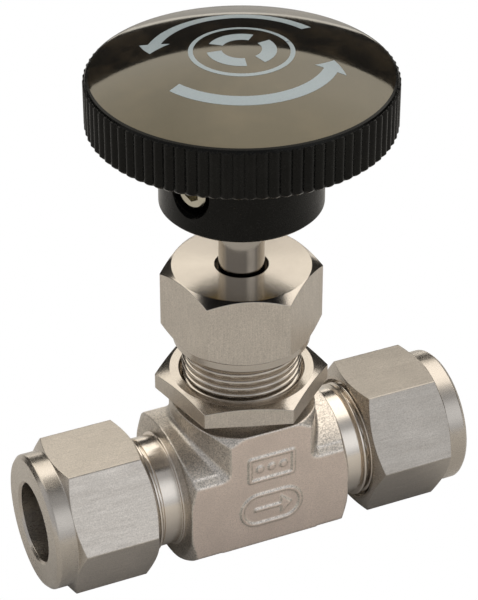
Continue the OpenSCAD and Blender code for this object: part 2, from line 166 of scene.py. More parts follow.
def lay(verts, axis):
    """Turns a piece drawn about Z so that its +Z points along -X (axis -1) or +X (axis 1)."""
    if axis is None:
        return verts
    x, y, z = verts.T
    return np.stack([axis * z, y, -axis * x], -1)


def even_turns(count):
    return np.arange(count) * TAU / count


def hex_turns(turn, fine=9, coarse=20):
    """Angles round a hexagon, close together at its corners. turn is one corner, in degrees."""
    near = np.linspace(-1.6, 1.6, fine)
    far = np.linspace(1.6, 58.4, coarse + 2)[1:-1]
    sector = np.concatenate([near, far])
    return np.radians(np.concatenate([turn + 60 * k + sector for k in range(6)]))


def hex_radius(turns, across, turn, soft):
    """Radius of a hexagon with its corners rounded to radius soft."""
    flat = across / 2
    from_flat = np.mod(turns - math.radians(turn), TAU / 6) - TAU / 12
    from_corner = TAU / 12 - np.abs(from_flat)
    centre = (flat - soft) / math.cos(TAU / 12)
    straight = flat / np.cos(from_flat)
    chord = soft ** 2 - (centre * np.sin(from_corner)) ** 2
    rounded = centre * np.cos(from_corner) + np.sqrt(np.maximum(chord, 0))
    limit = math.atan((flat - soft) * math.tan(TAU / 12) / flat)
    return np.where(np.abs(from_flat) <= limit, straight, rounded)


def thread_radius(height, turns, crest_r, depth, low, high):
    """Helical right-hand thread: radius at each height and angle, fading out at both ends."""
    crest_half, flank, fade_in, fade_out = 0.08, 0.34, 0.5, 0.6
    phase = np.mod(height[:, None] / pitch - turns[None, :] / TAU, 1.0)
    ramp = np.clip((np.abs(phase - 0.5) - crest_half) / flank, 0, 1)
    dip = ramp * ramp * (1.6 - 0.6 * ramp)
    fade = np.clip((height - low) / fade_in, 0, 1) * np.clip((high - height) / fade_out, 0, 1)
    root = crest_r - depth
    cut = (crest_r - depth * dip) * fade[:, None] + root * (1 - fade[:, None])
    return cut


def thread_stations(turns, crest_r, depth, low, high, material, per_pitch=20):
    heights = np.linspace(low, high, int((high - low) / pitch * per_pitch))
    radii = thread_radius(heights, turns, crest_r, depth, low, high)
    return [(radii[i], heights[i], 0, material) for i in range(len(heights))]


# ---------------------------------------------------------------- solid fields for the forging

def round_and(a, b, k):
    """Intersection of two distance fields, its edge rounded to radius k."""
    outside = np.hypot(np.maximum(a + k, 0), np.maximum(b + k, 0))
    return np.minimum(np.maximum(a, b), -k) + outside


def round_or(a, b, k):
    """Union of two distance fields, with a fillet of radius k."""
    inside = np.hypot(np.maximum(k - a, 0), np.maximum(k - b, 0))
    return np.maximum(np.minimum(a, b), k) - inside


def surface_net(field, low, high, cell):
    """Quad mesh of the surface where field is zero, by surface nets, then pulled onto it."""
    axes = [np.arange(low[i], high[i] + cell, cell) for i in range(3)]
    grid = np.meshgrid(*axes, indexing="ij")
    value = field(*grid)
    cells = tuple(s - 1 for s in value.shape)
    total = np.zeros(cells + (3,))
    hits = np.zeros(cells)
    for d in range(3):
        near = value.take(range(value.shape[d] - 1), axis=d)
        far = value.take(range(1, value.shape[d]), axis=d)
        crossed = (near < 0) != (far < 0)
        gap = np.where(crossed, near - far, 1)
        share = np.where(crossed, near / gap, 0)
        others = [i for i in range(3) if i != d]
        for u in (0, 1):
            for v in (0, 1):
                window = [slice(None)] * 3
                window[others[0]] = slice(u, u + cells[others[0]])
                window[others[1]] = slice(v, v + cells[others[1]])
                window = tuple(window)
                hit = crossed[window]
                place = np.zeros(hit.shape + (3,))
                place[..., d] = share[window]
                place[..., others[0]] = u
                place[..., others[1]] = v
                total += np.where(hit[..., None], place, 0)
                hits += hit
    active = hits > 0
    index = np.full(cells, -1)
    index[active] = np.arange(active.sum())
    corner = np.argwhere(active)
    verts = (corner + total[active] / hits[active][:, None]) * cell + np.array(low)
    faces = []
    for d in range(3):
        u, v = [i for i in range(3) if i != d]
        near = value.take(range(value.shape[d] - 1), axis=d)
        far = value.take(range(1, value.shape[d]), axis=d)
        crossed = np.argwhere((near < 0) != (far < 0))
        inner = (crossed[:, u] > 0) & (crossed[:, v] > 0)
        inner &= (crossed[:, u] < cells[u]) & (crossed[:, v] < cells[v])
        crossed = crossed[inner]
        going_out = near[tuple(crossed.T)] < 0
        around = []
        for du, dv in ((-1, -1), (0, -1), (0, 0), (-1, 0)):
            step = np.zeros(3, int)
            step[u], step[v] = du, dv
            around.append(index[tuple((crossed + step).T)])
        quad = np.stack(around, -1)
        flip = going_out if d == 1 else ~going_out
        quad[flip] = quad[flip][:, ::-1]
        faces.append(quad)
    for _ in range(3):
        x, y, z = verts.T
        tiny = cell * 0.05
        here = field(x, y, z)
        slope = np.stack([field(x + tiny, y, z) - here, field(x, y + tiny, z) - here,
                          field(x, y, z + tiny) - here], -1) / tiny
        steep = np.maximum((slope ** 2).sum(1), 0.2)
        verts = verts - np.clip(here / steep, -cell, cell)[:, None] * slope * 0.9
    return verts, np.concatenate(faces)


# ---------------------------------------------------------------- shader building

class Shader:
    """Small helper around the node tree of a material or of the world."""

    def __init__(self, owner):
        self.owner = owner
        owner.use_nodes = True
        self.tree = owner.node_tree
        self.bsdf = self.tree.nodes.get("Principled BSDF")
        self.place = self.node("ShaderNodeTexCoord").outputs["Object"]

    def node(self, kind, settings=None, **inputs):
        made = self.tree.nodes.new(kind)
        for key, value in (settings or {}).items():
            setattr(made, key, value)
        for key, value in inputs.items():
            index = int(key[1:]) if key[0] == "i" and key[1:].isdigit() else key.replace("_", " ")
            self.feed(made.inputs[index], value)
        return made

    def feed(self, socket, value):
        if isinstance(value, bpy.types.NodeSocket):
            self.tree.links.new(value, socket)
        elif socket.type == "RGBA" and len(value) == 3:
            socket.default_value = (*value, 1)
        else:
            socket.default_value = value

    def math(self, operation, a, b=0.0, c=0.0, clamp=False):
        settings = {"operation": operation, "use_clamp": clamp}
        return self.node("ShaderNodeMath", settings, i0=a, i1=b, i2=c).outputs[0]

    def vector(self, operation, a, b=(0, 0, 0), out=0):
        return self.node("ShaderNodeVectorMath", {"operation": operation}, i0=a, i1=b).outputs[out]

    def split(self, vector):
        return self.node("ShaderNodeSeparateXYZ", i0=vector).outputs

    def join(self, x, y, z):
        return self.node("ShaderNodeCombineXYZ", i0=x, i1=y, i2=z).outputs[0]

    def mix(self, share, a, b):
        made = self.node("ShaderNodeMix", {"data_type": "RGBA"})
        self.feed(made.inputs["Factor"], share)
        self.feed(made.inputs[6], a)
        self.feed(made.inputs[7], b)
        return made.outputs[2]

    def ramp(self, value, low, high, out_low=0.0, out_high=1.0):
        made = self.node("ShaderNodeMapRange", {"clamp": True})
        for i, item in enumerate((value, low, high, out_low, out_high)):
            self.feed(made.inputs[i], item)
        return made.outputs[0]

    def noise(self, place, scale, detail=2.0, rough=0.5, w=None):
        dims = "3D" if w is None else "4D"
        made = self.node("ShaderNodeTexNoise", {"noise_dimensions": dims}, Vector=place,
                         Scale=scale, Detail=detail, Roughness=rough)
        if w is not None:
            self.feed(made.inputs["W"], w)
        return made.outputs["Fac"]

    def bump(self, height, strength, distance, normal=None):
        made = self.node("ShaderNodeBump", Height=height, Strength=strength, Distance=distance)
        if normal is not None:
            self.feed(made.inputs["Normal"], normal)
        return made.outputs[0]

    def set(self, **inputs):
        for key, value in inputs.items():
            self.feed(self.bsdf.inputs[key.replace("_", " ")], value)


def round_place(s, axis):
    """Distance from the axis, distance along it, and a loop coordinate pair round it."""
    x, y, z = s.split(s.place)
    along, across, up = (x, y, z) if axis == "X" else (z, x, y)
    radial = s.math("SQRT", s.math("ADD", s.math("POWER", across, 2), s.math("POWER", up, 2)))
    cos = s.math("DIVIDE", across, radial)
    sin = s.math("DIVIDE", up, radial)
    return radial, along, cos, sin


def axis_vector(axis):
    return (1, 0, 0) if axis == "X" else (0, 0, 1)


def tangent_across(s, marks):
    """World direction that lies in the surface, square to marks given in object space."""
    geometry = s.node("ShaderNodeNewGeometry")
    world = s.node("ShaderNodeVectorTransform", {"vector_type": "VECTOR", "convert_from": "OBJECT",
                                                 "convert_to": "WORLD"}, Vector=marks).outputs[0]
    return s.vector("NORMALIZE", s.vector("CROSS_PRODUCT", geometry.outputs["Normal"], world))


def groove_tangent(s, axis):
    """World direction across turned grooves: the direction in which they spread a reflection."""
    return tangent_across(s, s.vector("CROSS_PRODUCT", axis_vector(axis), s.place))


def steel_base(s, colour, spots=0.05):
    """Stainless steel colour with faint cloudy variation."""
    cloud = s.noise(s.place, 180, 4, 0.6)
    darker = tuple(c * (1 - 2 * spots) for c in colour)
    return s.mix(s.ramp(cloud, 0.35, 0.65), darker, colour)


def turned_steel(name, axis, colour, rough=0.24, mark=0.35, spacing=0.12, aniso=0.6, line=0.12):
    """Lathe-turned stainless steel: fine grooves round the axis."""
    s = Shader(bpy.data.materials.new(name))
    radial, along, cos, sin = round_place(s, axis)
    place = s.join(radial, along, s.math("MULTIPLY", cos, 0.2 * MM))
    w = s.math("MULTIPLY", sin, 0.2)
    fine = s.noise(place, 1 / (spacing * MM), 3, 0.7, w)
    broad = s.noise(place, 0.25 / (spacing * MM), 2, 0.6, w)
    height = s.math("ADD", fine, s.math("MULTIPLY", broad, 1.6))
    worn = tuple(c * (1 - 2 * line) for c in colour)
    tone = s.mix(s.ramp(fine, 0.35, 0.65), worn, steel_base(s, colour))
    s.set(Base_Color=tone, Metallic=1.0, Anisotropic=aniso,
          Roughness=s.ramp(broad, 0.3, 0.7, rough * 0.8, rough * 1.2),
          Tangent=groove_tangent(s, axis),
          Normal=s.bump(height, mark, 0.004 * MM))
    return s.owner


def drawn_steel(name, axis, colour, rough=0.33, mark=0.5, aniso=0.45):
    """Cold-drawn hexagon bar: fine streaks along the axis, light scratches across."""
    s = Shader(bpy.data.materials.new(name))
    _, along, cos, sin = round_place(s, axis)
    width = s.math("MULTIPLY", s.math("ARCTAN2", sin, cos), 11 * MM)
    streak = s.noise(s.join(width, s.math("MULTIPLY", along, 0.035), 0.0), 1 / (0.16 * MM), 3, 0.7)
    broad = s.noise(s.join(width, s.math("MULTIPLY", along, 0.1), 0.0), 1 / (1.1 * MM), 2, 0.6)
    grain = s.noise(s.place, 1 / (0.2 * MM), 2, 0.7)
    height = s.math("ADD", s.math("MULTIPLY", streak, 1.1), s.math("MULTIPLY", grain, 1.4))
    dull = tuple(c * 0.72 for c in colour)
    tone = s.mix(s.ramp(s.math("ADD", grain, s.math("MULTIPLY", streak, 0.5)), 0.5, 0.95), dull,
                 steel_base(s, tuple(min(1, c * 1.16) for c in colour)))
    s.set(Base_Color=tone, Metallic=1.0, Anisotropic=aniso,
          Roughness=s.ramp(broad, 0.3, 0.7, rough * 0.85, rough * 1.15),
          Tangent=tangent_across(s, axis_vector(axis)),
          Normal=s.bump(height, mark, 0.006 * MM))
    return s.owner


def blasted_steel(name, colour, rough=0.38, mark=0.7):
    """Shot-blasted forging: dark specks and a little sparkle, finer on the two flat faces."""
    s = Shader(bpy.data.materials.new(name))
    nx, ny, _ = s.split(s.node("ShaderNodeTexCoord").outputs["Normal"])
    flat = s.ramp(s.math("ABSOLUTE", ny), 0.88, 0.99)
    # Painted shade: the base colour is up to a quarter darker where the surface faces -X.
    painted_side_shade = s.ramp(nx, -0.8, -0.25, 0.75, 1.0)
    grain = s.noise(s.place, 1 / (0.23 * MM), 2, 0.7)
    pits = s.noise(s.place, 1 / (0.5 * MM), 2, 0.5)
    wave = s.noise(s.place, 1 / (4.5 * MM), 2, 0.5)
    height = s.math("ADD", s.math("MULTIPLY", grain, 1.4), s.math("MULTIPLY", pits, 1.4))
    height = s.math("ADD", height, s.math("MULTIPLY", wave, 2.0))
    speck = s.ramp(s.math("ADD", grain, s.math("MULTIPLY", pits, 0.3)), 0.46, 0.76)
    dark = s.mix(flat, tuple(c * 0.5 for c in colour), tuple(c * 0.86 for c in colour))
    light = tuple(min(1, c * 1.12) for c in colour)
    tone = s.mix(speck, dark, steel_base(s, light, 0.06))
    tone = s.vector("MULTIPLY", tone, s.join(painted_side_shade, painted_side_shade, painted_side_shade))
    # Painted light: the two flat faces get a redder, slightly darker base colour (x0.95, 0.89, 0.89).
    s.set(Base_Color=s.mix(flat, tone, s.vector("MULTIPLY", tone, (0.95, 0.89, 0.89))), Metallic=1.0,
          Roughness=s.ramp(grain, 0.3, 0.7, rough * 1.2, rough * 0.8),
          Normal=s.bump(height, s.ramp(flat, 0.0, 1.0, mark, mark * 0.55), 0.03 * MM))
    return s.owner


def knob_plastic(name, colour, smudge, rough, mark, ior, tint):
    """Moulded phenolic plastic: glossy skin with faint orange peel, smudges and fine dust."""
    s = Shader(bpy.data.materials.new(name))
    peel = s.noise(s.place, 1 / (2.5 * MM), 2, 0.5)
    dust = s.noise(s.place, 1 / (0.25 * MM), 3, 0.7)
    cloud = s.noise(s.place, 1 / (7 * MM), 4, 0.65)
    skin = s.mix(s.ramp(cloud, 0.45, 0.75), colour, smudge)
    dusty = tuple(c + 0.012 for c in smudge)
    s.set(Base_Color=s.mix(s.ramp(dust, 0.55, 0.8), skin, dusty),
          Roughness=s.ramp(s.math("ADD", dust, cloud), 0.9, 1.3, rough, rough * 2),
          IOR=ior, Specular_Tint=(*tint, 1), Normal=s.bump(peel, mark, 0.02 * MM))
    return s.owner


def plain_plastic(name, colour, rough):
    s = Shader(bpy.data.materials.new(name))
    grain = s.noise(s.place, 1 / (0.3 * MM), 3, 0.6)
    s.set(Base_Color=s.mix(s.ramp(grain, 0.3, 0.7), tuple(0.92 * c for c in colour), colour),
          Roughness=s.ramp(grain, 0.3, 0.7, rough * 0.9, rough * 1.1),
          Normal=s.bump(grain, 0.2, 0.01 * MM))
    return s.owner


steel_colour = (0.62, 0.565, 0.5)
turned_z = turned_steel("turned_steel_upright", "Z", steel_colour, rough=0.15)
turned_x = turned_steel("turned_steel_flow", "X", steel_colour, rough=0.28)
# Painted light: the necks use a lighter copy (x1.42) of the turned steel colour.
turned_neck = turned_steel("turned_steel_neck", "X", tuple(1.42 * c for c in steel_colour), rough=0.22)
threaded = turned_steel("threaded_steel", "Z", steel_colour, rough=0.17, mark=0.15, aniso=0.75, line=0.05)
drawn_z = drawn_steel("drawn_steel_upright", "Z", steel_colour)
drawn_x = drawn_steel("drawn_steel_flow", "X", steel_colour)
# Painted shade: a darker copy (x0.74) of the same drawn steel, used for the right nut.
drawn_painted_shade = drawn_steel("drawn_steel_painted_shade", "X", tuple(0.74 * c for c in steel_colour))
faced = turned_steel("faced_steel", "Z", steel_colour, rough=0.19, mark=0.2, spacing=0.22, aniso=0.88)
# Painted light: the forging's base colour is a lighter copy (x1.28) of the steel colour.
forged = blasted_steel("forged_steel_blasted", tuple(1.28 * c for c in steel_colour))
polished = turned_steel("polished_steel", "Z", (0.5, 0.465, 0.415), rough=0.09, mark=0.12)
screw_steel = turned_steel("set_screw_steel", "Z", (0.62, 0.58, 0.47), rough=0.2, mark=0.1)
seal_white = plain_plastic("seal_plastic", (0.86, 0.85, 0.8), 0.45)
brass = turned_steel("turned_brass", "Z", (0.72, 0.56, 0.28), rough=0.25)
dome_plastic = knob_plastic("knob_dome_gloss", (0.004, 0.0035, 0.003), (0.036, 0.026, 0.015), 0.055, 0.2,
                            1.85, (1, 0.89, 0.64))
rim_plastic = knob_plastic("knob_rim", (0.002, 0.002, 0.0018), (0.006, 0.006, 0.005), 0.2, 0.3,
                           1.24, (1, 0.98, 0.92))
print_ink = plain_plastic("knob_print", (0.34, 0.4, 0.42), 0.3)


# ---------------------------------------------------------------- nuts

def ride_for(piece, body, slot, *nodes):
    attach(piece, body)
    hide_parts(*nodes)
    return piece


def chamfer_end(hexagon, tip_z, tip_r, slope):
    """Height at which a cone through (tip_r, tip_z) leaves each side of a hexagon."""
    return tip_z - slope * np.maximum(hexagon - tip_r, 0)


def make_packing_nut():
    across, corner = 22.2, bonnet_turn
    turns = hex_turns(corner)
    side = hex_radius(turns, across, corner, 0.22)
    top_slope = 0.635
    top_r, collar_r, collar_low, collar_top = 10.95, 10.92, packing_nut_low, 27.4
    shoulder = collar_top + (side - collar_r) * 0.8
    crown = chamfer_end(side, packing_nut_top, top_r, top_slope)
    ceiling, hole_r = 35.45, 4.16
    stations = [
        (nut_bore_r + 0.4, collar_low, 0.05, 0),
        (collar_r, collar_low, 0.3, 0),
        (collar_r, collar_top, 0.12, 0),
        (side, np.maximum(shoulder, collar_top + 0.03), 0.1, 1),
        (side, crown, 0.08, 0),
        (top_r, packing_nut_top, 0.12, 2),
        (hole_r + 0.12, packing_nut_top, 0.03, 0),
        (hole_r, packing_nut_top - 0.12, 0, 0),
        (hole_r, ceiling, 0, 0),
        (nut_bore_r + 0.45, ceiling, 0, 0),
    ]
    stations += inner_thread(turns, collar_low + 0.4, ceiling - 1.2)
    nut = lathe("packing_nut_turned", stations, turns, [turned_z, drawn_z, faced])
    ride_for(nut, "packing_nut", "turned_steel", "packing_nut")


def inner_thread(turns, low, high):
    """Nut thread from the top down: crests at the bolt's clearance, roots further out."""
    depth = 0.45
    bolt = thread_stations(turns, nut_bore_r + depth, depth, low, high, 0, 10)
    return [(2 * nut_bore_r + depth - r, z, 0, 0) for r, z, _, _ in reversed(bolt)]


def make_panel_nut():
    across, corner = 24.1, bonnet_turn
    turns = hex_turns(corner)
    side = hex_radius(turns, across, corner, 0.25)
    ring_r, ring_top = 11.4, panel_nut_low + 0.45
    top_r, mouth_r = 11.49, 10.09
    crown = chamfer_end(side, panel_nut_top, top_r, 0.328)
    mouth_drop = mouth_r - nut_bore_r
    stations = [
        (nut_bore_r + 0.45, panel_nut_low, 0.05, 0),
        (ring_r, panel_nut_low, 0.1, 0),
        (ring_r, ring_top, 0, 0),
        (side, panel_nut_low + 0.6, 0.12, 1),
        (side, crown, 0.08, 0),
        (top_r, panel_nut_top, 0.1, 0),
        (mouth_r, panel_nut_top, 0.06, 0),
        (nut_bore_r, panel_nut_top - mouth_drop, 0, 0),
    ]
    stations += inner_thread(turns, panel_nut_low + 0.35, panel_nut_top - mouth_drop - 0.1)
    nut = lathe("panel_nut_turned", stations, turns, [turned_z, drawn_z])
    ride_for(nut, "panel_nut", "turned_steel", "panel_nut")


def make_tube_nut(side_name, axis, clock, bar):
    across, corner = 22.225, 30 + clock
    turns = hex_turns(corner)
    side = hex_radius(turns, across, corner, 0.28)
    hex_out, root_x, nose_r, bevel = 32.08, 32.96, 11.05, 0.6
    corner_r = across / 2 / math.cos(TAU / 12) + 0.02
    in_slope = 1.15 / (corner_r - 10.6)
    out_slope = (root_x - hex_out) / (corner_r - nose_r)
    inner = nut_in_x + (side - 10.6) * in_slope
    outer = hex_out + (corner_r - side) * out_slope
    room_r, room_x, seat_x = 8.45, 28.7, 30.75
    stations = [
        (nut_bore_r + 0.5, nut_in_x, 0.05, 0),
        (10.6, nut_in_x, 0.12, 0),
        (side, inner, 0.08, 1),
        (side, outer, 0.1, 0),
        (nose_r, root_x, 0.2, 0),
        (nose_r, nose_x - bevel, 0.4, 0),
        (nose_r - bevel, nose_x, 0.3, 0),
        (tube_r + 0.4, nose_x, 0.12, 0),
        (tube_r, nose_x - 0.4, 0.1, 0),
        (tube_r, seat_x + room_r - tube_r, 0, 0),
        (room_r, seat_x, 0, 0),
        (room_r, room_x, 0, 0),
        (nut_bore_r, room_x, 0, 0),
    ]
    stations += inner_thread(turns, nut_in_x + 0.5, room_x - 0.1)
    nut = lathe(side_name + "_nut_turned", stations, turns, [turned_x, bar], axis=axis)
    ride_for(nut, side_name + "_nut", "turned_steel", side_name + "_nut")


# ---------------------------------------------------------------- body

def make_bonnet():
    turns = even_turns(180)
    relief_r, relief_top, base, guide_r, chamber_r = 9.1, 16.2, 14.0, 5.0, 6.2
    floor = 24.5
    stations = [
        (guide_r, base, 0, 0),
        (relief_r, base, 0, 0),
        (relief_r, relief_top, 0, 0),
    ]
    stations += thread_stations(turns, thread_r, thread_depth, relief_top + 0.05, bonnet_top - 0.3, 0)
    stations += [
        (thread_r - thread_depth, bonnet_top, 0.1, 0),
        (chamber_r + 0.3, bonnet_top, 0.05, 0),
        (chamber_r, bonnet_top - 0.3, 0, 0),
        (chamber_r, floor, 0, 0),
        (guide_r, floor, 0, 0),
    ]
    bonnet = lathe("body_bonnet", stations, turns, [threaded])
    ride_for(bonnet, "root", "forged_steel", "body")


def make_tube_end(side_name, axis):
    turns = even_turns(180)
    start, face, bead_r, bead_w, neck_r, neck_end = 13.6, 13.9, 9.45, 0.45, 9.0, 17.3
    mouth_r, mouth_len = 7.5, 2.9
    stations = [
        (tube_r, start, 0, 0),
        (bead_r, start, 0, 0),
        (bead_r, face + bead_w, 0.18, 0),
        (neck_r, face + bead_w, 0.12, 0),
        (neck_r, neck_end, 0, 0),
    ]
    stations += thread_stations(turns, thread_r, thread_depth, neck_end + 0.05, tube_end_x - 0.3, 0)
    stations += [
        (thread_r - thread_depth, tube_end_x, 0.1, 0),
        (mouth_r, tube_end_x, 0.08, 0),
        (tube_r, tube_end_x - mouth_len, 0, 0),
    ]
    end = lathe("body_" + side_name + "_end", stations, turns, [turned_neck], axis=axis)
    ride_for(end, "root", "forged_steel", "body")


run_top = 11.3
flat_half_h = 7.05
end_face_x = 13.9
shoulder_z = 14.5
crown_rise = run_top - flat_half_h
crown_r = (body_half_w ** 2 + crown_rise ** 2) / (2 * crown_rise)
column_side, column_corner = 11.2, 7.0
column_bulge = column_side - column_corner
column_arc_r = (body_half_w ** 2 + column_bulge ** 2) / (2 * column_bulge)


def smooth(low, high, value):
    """Smooth rise from 0 at low to 1 at high."""
    share = np.clip((value - low) / (high - low), 0, 1)
    return share * share * (3 - 2 * share)


def slot_field(u, v, half_len, radius):
    return np.hypot(np.maximum(np.abs(u) - half_len, 0), v) - radius


def mark_field(x, z):
    """Distance to the soft raised marks on the front: a frame with dots, an oval with an arrow."""
    line, frame_z, oval_z = 0.3, 7.8, -0.2
    u, v = np.abs(x) - 3.6, np.abs(z - frame_z) - 1.95
    frame_line = np.hypot(np.maximum(u, 0), np.maximum(v, 0)) + np.minimum(np.maximum(u, v), 0)
    field = np.abs(frame_line - 0.2) - line
    for i in (-1, 0, 1):
        field = np.minimum(field, np.hypot(x - 2.05 * i, z - frame_z) - 0.62)
    up = z - oval_z
    field = np.minimum(field, np.abs(slot_field(x, up, 2.3, 2.85)) - line)
    shaft = slot_field(x + 0.6, up, 2.1, line)
    tip = np.maximum(np.abs(up) + (x - 3.6) * 0.9, 1.7 - x) * 0.74
    return np.minimum(np.minimum(field, shaft), tip)


def run_field(x, y, z):
    """The forging's run: two crowned faces, a trimmed ledge along their edges, turned ends."""
    ledge_step, end_cone_r, cone_slope = 0.12, 11.7, 0.59
    drop = crown_r - run_top
    crown = np.maximum(np.hypot(y, z + drop), np.hypot(y, z - drop)) - crown_r
    ledge = smooth(10.15, 10.4, np.abs(y)) * smooth(8.2, 8.6, np.abs(x))
    crown = crown + ledge_step * ledge
    reach = np.abs(x)
    cone = np.hypot(y, z) - end_cone_r - (end_face_x - reach) / cone_slope
    cone = cone / math.hypot(1, 1 / cone_slope)
    ends = round_and(cone, reach - end_face_x, 0.15)
    return round_and(crown, ends, 0.12)


def column_field(x, y, z):
    """The upright column: two bowed sides, and the chamfer turned round its top."""
    top_r, chamfer_slope = 12.25, 0.958
    shift = column_arc_r - column_side
    sides = np.maximum(np.hypot(x - shift, y), np.hypot(x + shift, y)) - column_arc_r
    upright = np.hypot(x, y)
    chamfer = (upright - top_r + (z - shoulder_z) * chamfer_slope) / math.hypot(1, chamfer_slope)
    top = round_and(chamfer, z - shoulder_z, 0.1)
    return round_and(np.maximum(sides, -z), top, 0.12)


def forging_field(x, y, z):
    """Signed distance, in millimetres, of the forged block between the turned ends."""
    block = round_or(run_field(x, y, z), column_field(x, y, z), 0.9)
    raised = 0.3 * smooth(0.22, -0.18, mark_field(x, z)) * (y < 0)
    return round_and(block, np.abs(y) - body_half_w - raised, 0.28)


def bore_field(x, y, z):
    """Signed distance of the passages: sockets, inlet, outlet, orifice, chamber and guide bore."""
    flow_r, inlet_drop, outlet_rise, socket_x = 3.2, 2.9, 3.2, 13.45
    chamber_r, chamber_low, chamber_top, guide_r = 5.4, 1.6, 12, 5.25
    socket = np.maximum(np.hypot(y, z) - tube_r - 0.05, socket_x - np.abs(x))
    inlet = np.maximum(np.hypot(y, z + inlet_drop) - flow_r, x - flow_r)
    outlet = np.maximum(np.hypot(y, z - outlet_rise) - flow_r, 4.6 - x)
    upright = np.hypot(x, y)
    orifice = np.maximum(upright - flow_r, np.maximum(-inlet_drop - z, z - 2))
    chamber = np.maximum(upright - chamber_r, np.maximum(chamber_low - z, z - chamber_top))
    guide = np.maximum(upright - guide_r, 11 - z)
    return np.minimum.reduce([socket, inlet, outlet, orifice, chamber, guide])


def solid_field(x, y, z):
    return np.maximum(forging_field(x, y, z), -bore_field(x, y, z))


def make_forging():
    cell = 0.18
    low, high = (-14.4, -12.4, -12.7), (14.4, 12.1, 15.1)
    verts, faces = surface_net(solid_field, low, high, cell)
    piece = finish_mesh("body_forging", verts, faces, [forged], np.zeros(len(faces), int), 50)
    ride_for(piece, "root", "forged_steel", "body")


# ---------------------------------------------------------------- stem and knob

def make_stem():
    turns = even_turns(120)
    top_thread, low_thread = 24.35, 14.35
    button_r, button_neck, button_top = 2.2, 1.3, stem_low + 1.2
    collar_r, collar_low = 3.4, 13.55
    root_r = 4.95 - 0.7
    flat_half_h = 3.2
    facing = np.cos(turns - math.radians(screw_turn))
    flat = np.where(facing > 0.5, np.minimum(stem_r, screw_foot / np.maximum(facing, 0.5)), stem_r)
    stations = [
        (0, stem_low, 0, 0),
        (button_r, stem_low, 0.1, 0),
        (button_r, button_top, 0.05, 0),
        (button_neck, button_top, 0, 0),
        (button_neck, collar_low, 0, 0),
        (collar_r, collar_low, 0.1, 0),
        (collar_r, low_thread, 0, 0),
        (root_r, low_thread, 0, 0),
    ]
    stations += thread_stations(turns, 4.95, 0.7, low_thread + 0.02, top_thread - 0.02, 0)
    stations += [
        (root_r, top_thread, 0, 0),
        (stem_r, top_thread, 0, 0),
        (stem_r, 30, 0, 0),
        (stem_r, 38, 0, 0),
        (stem_r, 46, 0, 0),
        (stem_r, screw_z - flat_half_h, 0, 0),
        (flat, screw_z - flat_half_h + 0.01, 0, 0),
        (flat, screw_z + flat_half_h - 0.01, 0, 0),
        (stem_r, screw_z + flat_half_h, 0, 0),
        (stem_r, stem_high - 0.8, 0.05, 0),
        (stem_r - 0.7, stem_high, 0.05, 0),
        (0, stem_high, 0, 0),
    ]
    stem = lathe("stem_polished", stations, turns, [polished], closed=False)
    ride_for(stem, "handle", "polished_steel", "stem")


def make_knob():
    ribs, samples = 84, 12
    turns = even_turns(ribs * samples)
    rib = 0.42 * (1 - np.abs(np.cos(turns * ribs / 2)) ** 1.2)
    rim_low, rim_top, lip_r = 64.1, 72.1, knob_r - 0.35
    rise = dome_top - rim_top
    dome_r = (lip_r ** 2 + rise ** 2) / (2 * rise)
    insert_r, insert_top, hole_top, bore = 7.44, 66.04, 70, 3.65
    recess_r, recess_top, wall = knob_r - 3.4, 67.0, 0.4
    stations = [
        (0, hole_top, 0, 1),
        (bore, hole_top, 0, 1),
        (bore, insert_top, 0, 1),
        (insert_r, insert_top, 0, 1),
        (insert_r, hub_low, 0.05, 1),
        (hub_r - 0.5, hub_low, 0.3, 1),
        (hub_r, hub_low + 0.5, 0.3, 1),
        (hub_r, rim_low, 0, 1),
        (hub_r + 1.2, recess_top, 0.9, 1),
        (recess_r - wall, recess_top, 0.9, 1),
        (recess_r + wall, rim_low, 0.3, 1),
        (knob_r - 0.4 - rib * 0.6, rim_low, 0.15, 1),
        (knob_r - rib, rim_low + 0.4, 0.15, 1),
        (knob_r - rib, rim_top - 0.45, 0.1, 1),
        (lip_r + 0.1, rim_top - 0.3, 0.12, 1),
        (lip_r - 0.1, rim_top, 0.12, 1),
    ]
    for share in np.linspace(0.98, 0.0, 40):
        radius = lip_r * share
        height = dome_top - dome_r + math.sqrt(dome_r ** 2 - radius ** 2)
        stations.append((radius, height, 0, 0))
    knob = lathe("knob_moulded", stations, turns, [dome_plastic, rim_plastic], closed=False, steps=3)
    drill_screw_hole(knob)
    ride_for(knob, "handle", "knob_plastic", "knob")
    make_dome_print(dome_r)


def dome_strip(angles, inner, outer, dome_r, thickness=0.05):
    """Thin curved strip lying on the dome between two radii given at each angle."""
    across = np.linspace(0, 1, 7)
    radius = inner[:, None] + (outer - inner)[:, None] * across
    x, y = radius * np.cos(angles)[:, None], radius * np.sin(angles)[:, None]
    layers = []
    for lift in (thickness * 0.5, -thickness):
        shell = dome_r + lift
        z = dome_top - dome_r + np.sqrt(shell ** 2 - radius ** 2)
        layers.append(np.stack([x, y, z], -1))
    rows, columns = radius.shape
    upper = np.arange(rows * columns).reshape(rows, columns)
    lower = upper + rows * columns
    faces = []
    for i in range(rows - 1):
        for j in range(columns - 1):
            faces.append((upper[i, j], upper[i, j + 1], upper[i + 1, j + 1], upper[i + 1, j]))
            faces.append((lower[i, j], lower[i + 1, j], lower[i + 1, j + 1], lower[i, j + 1]))
    rim = list(upper[0, :-1]) + list(upper[:-1, -1]) + list(upper[-1, :0:-1]) + list(upper[:0:-1, 0])
    for a, b in zip(rim, rim[1:] + rim[:1]):
        faces.append((b, a, a + rows * columns, b + rows * columns))
    return np.concatenate(layers).reshape(-1, 3), faces


